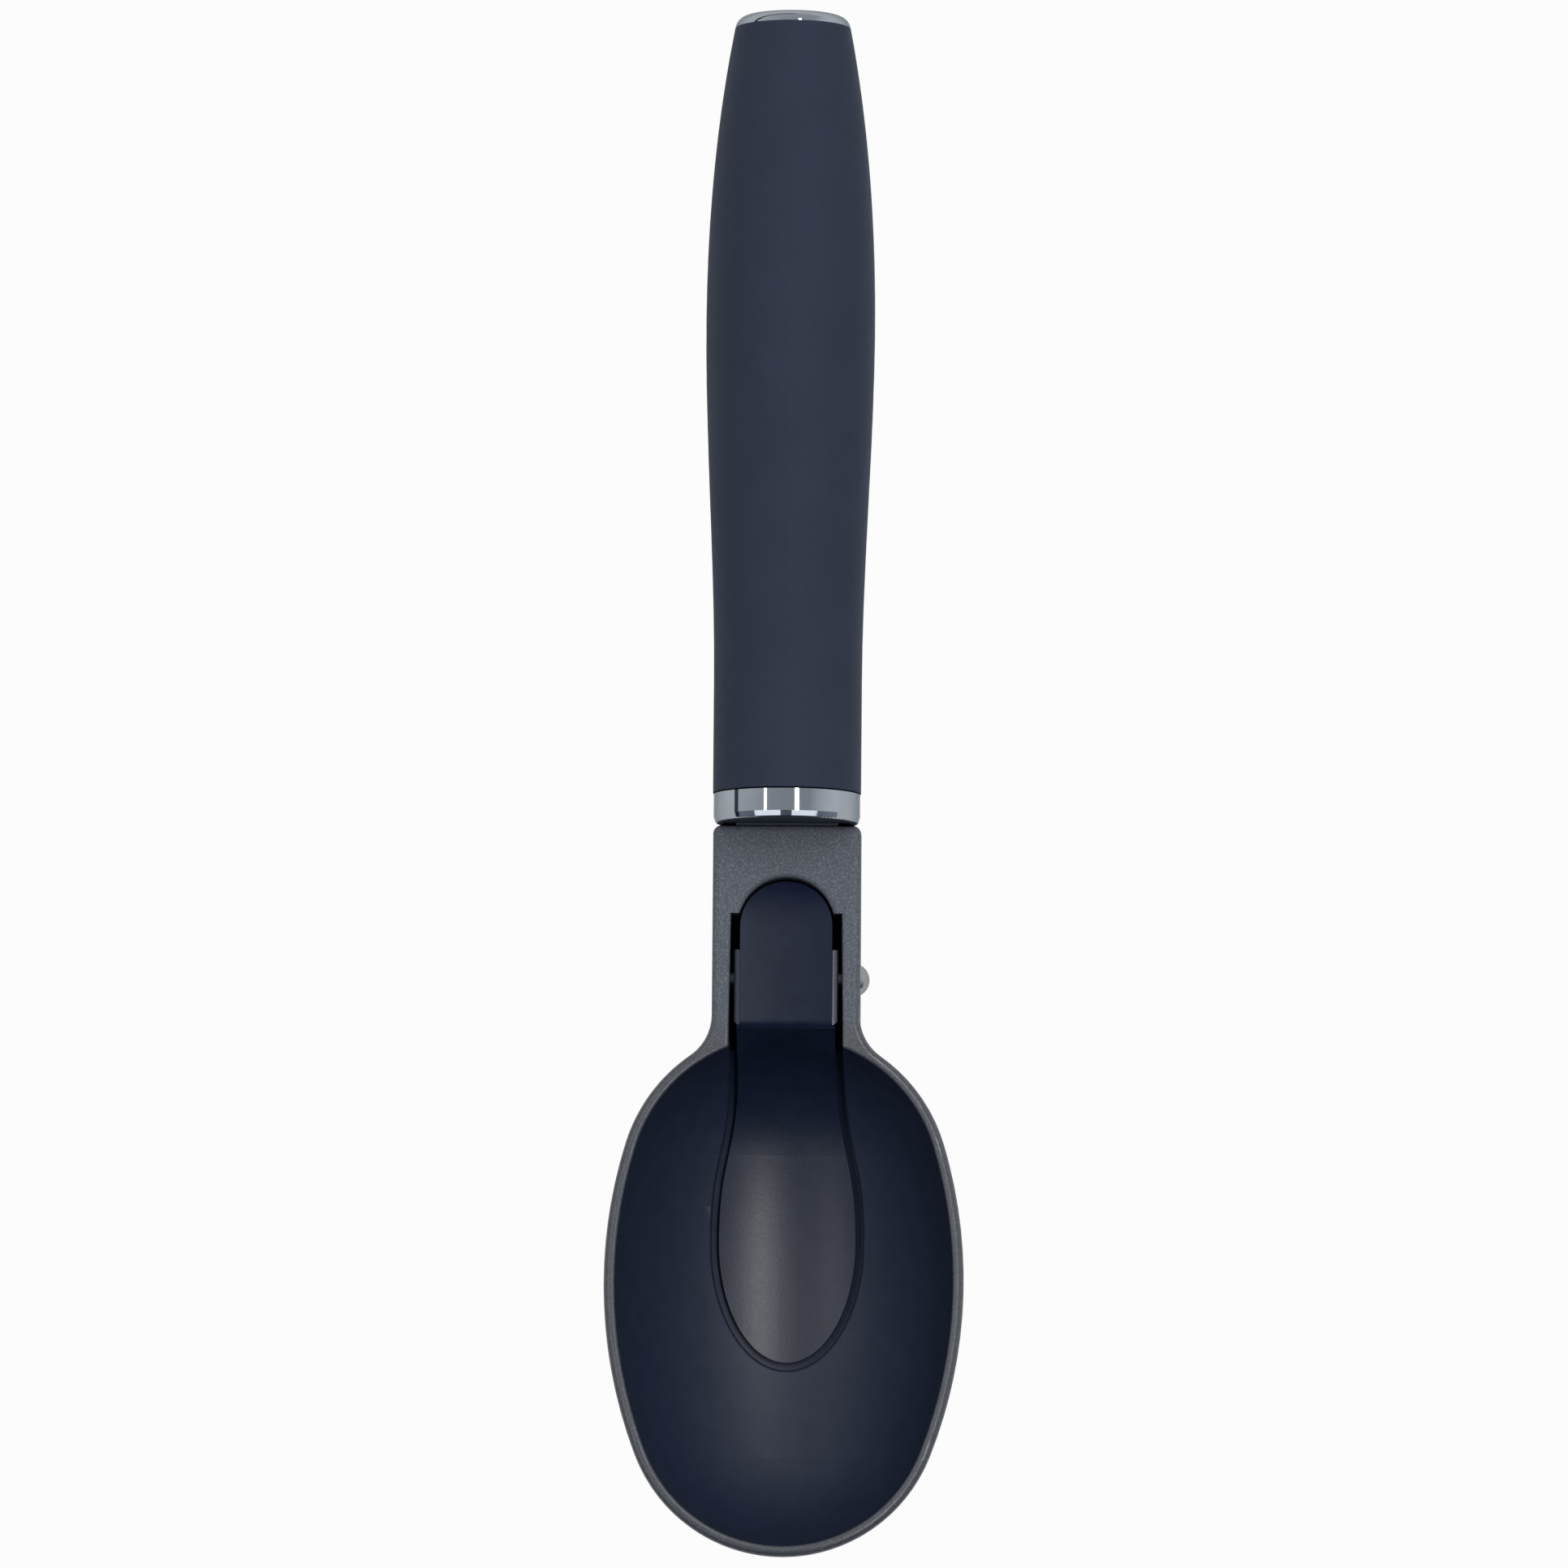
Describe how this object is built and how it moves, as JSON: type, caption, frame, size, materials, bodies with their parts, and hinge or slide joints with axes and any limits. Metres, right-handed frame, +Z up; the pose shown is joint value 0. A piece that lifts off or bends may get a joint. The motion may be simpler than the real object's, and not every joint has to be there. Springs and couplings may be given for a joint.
{
  "type": "ice cream scoop",
  "caption": "Ice cream scoop with a deep oval bowl, a sprung thumb lever whose tongue lies in the bowl and lifts the ball out, and a round soft grip with plated ends.",
  "frame": {"origin": "on the table under the middle of the scoop's overall length, as it lies on its bowl and its grip", "axes": "+X to the right along the lever's pivot, +Y along the handle away from the bowl, +Z up"},
  "size_m": [0.0512, 0.2202, 0.0311],
  "materials": {
    "body_paint": "fine speckled gunmetal paint",
    "lever_black": "satin black coating",
    "plain_steel": "plain",
    "chrome_plate": "bright plating",
    "core_plastic": "moulded",
    "soft_grip": "matt soft-touch"
  },
  "bodies": {
    "scoop": {"scoop_body": "body_paint", "pivot_pin": "plain_steel", "return_spring": "plain_steel", "collar": "chrome_plate", "handle_core": "core_plastic", "tang_pins": "plain_steel", "grip_sleeve": "soft_grip", "end_cap": "chrome_plate"},
    "lever": {"ejector_lever": "lever_black"}
  },
  "joints": [
    {"name": "lever_press", "type": "hinge", "parent": "scoop", "child": "lever", "pos_m": [0, -0.0284, 0.01707], "axis": [-1, 0, 0], "range_deg": [0, 16], "stiffness_Nm_per_rad": 0.12, "springref_deg": -11.46, "deforming": ["return_spring"]}
  ]
}
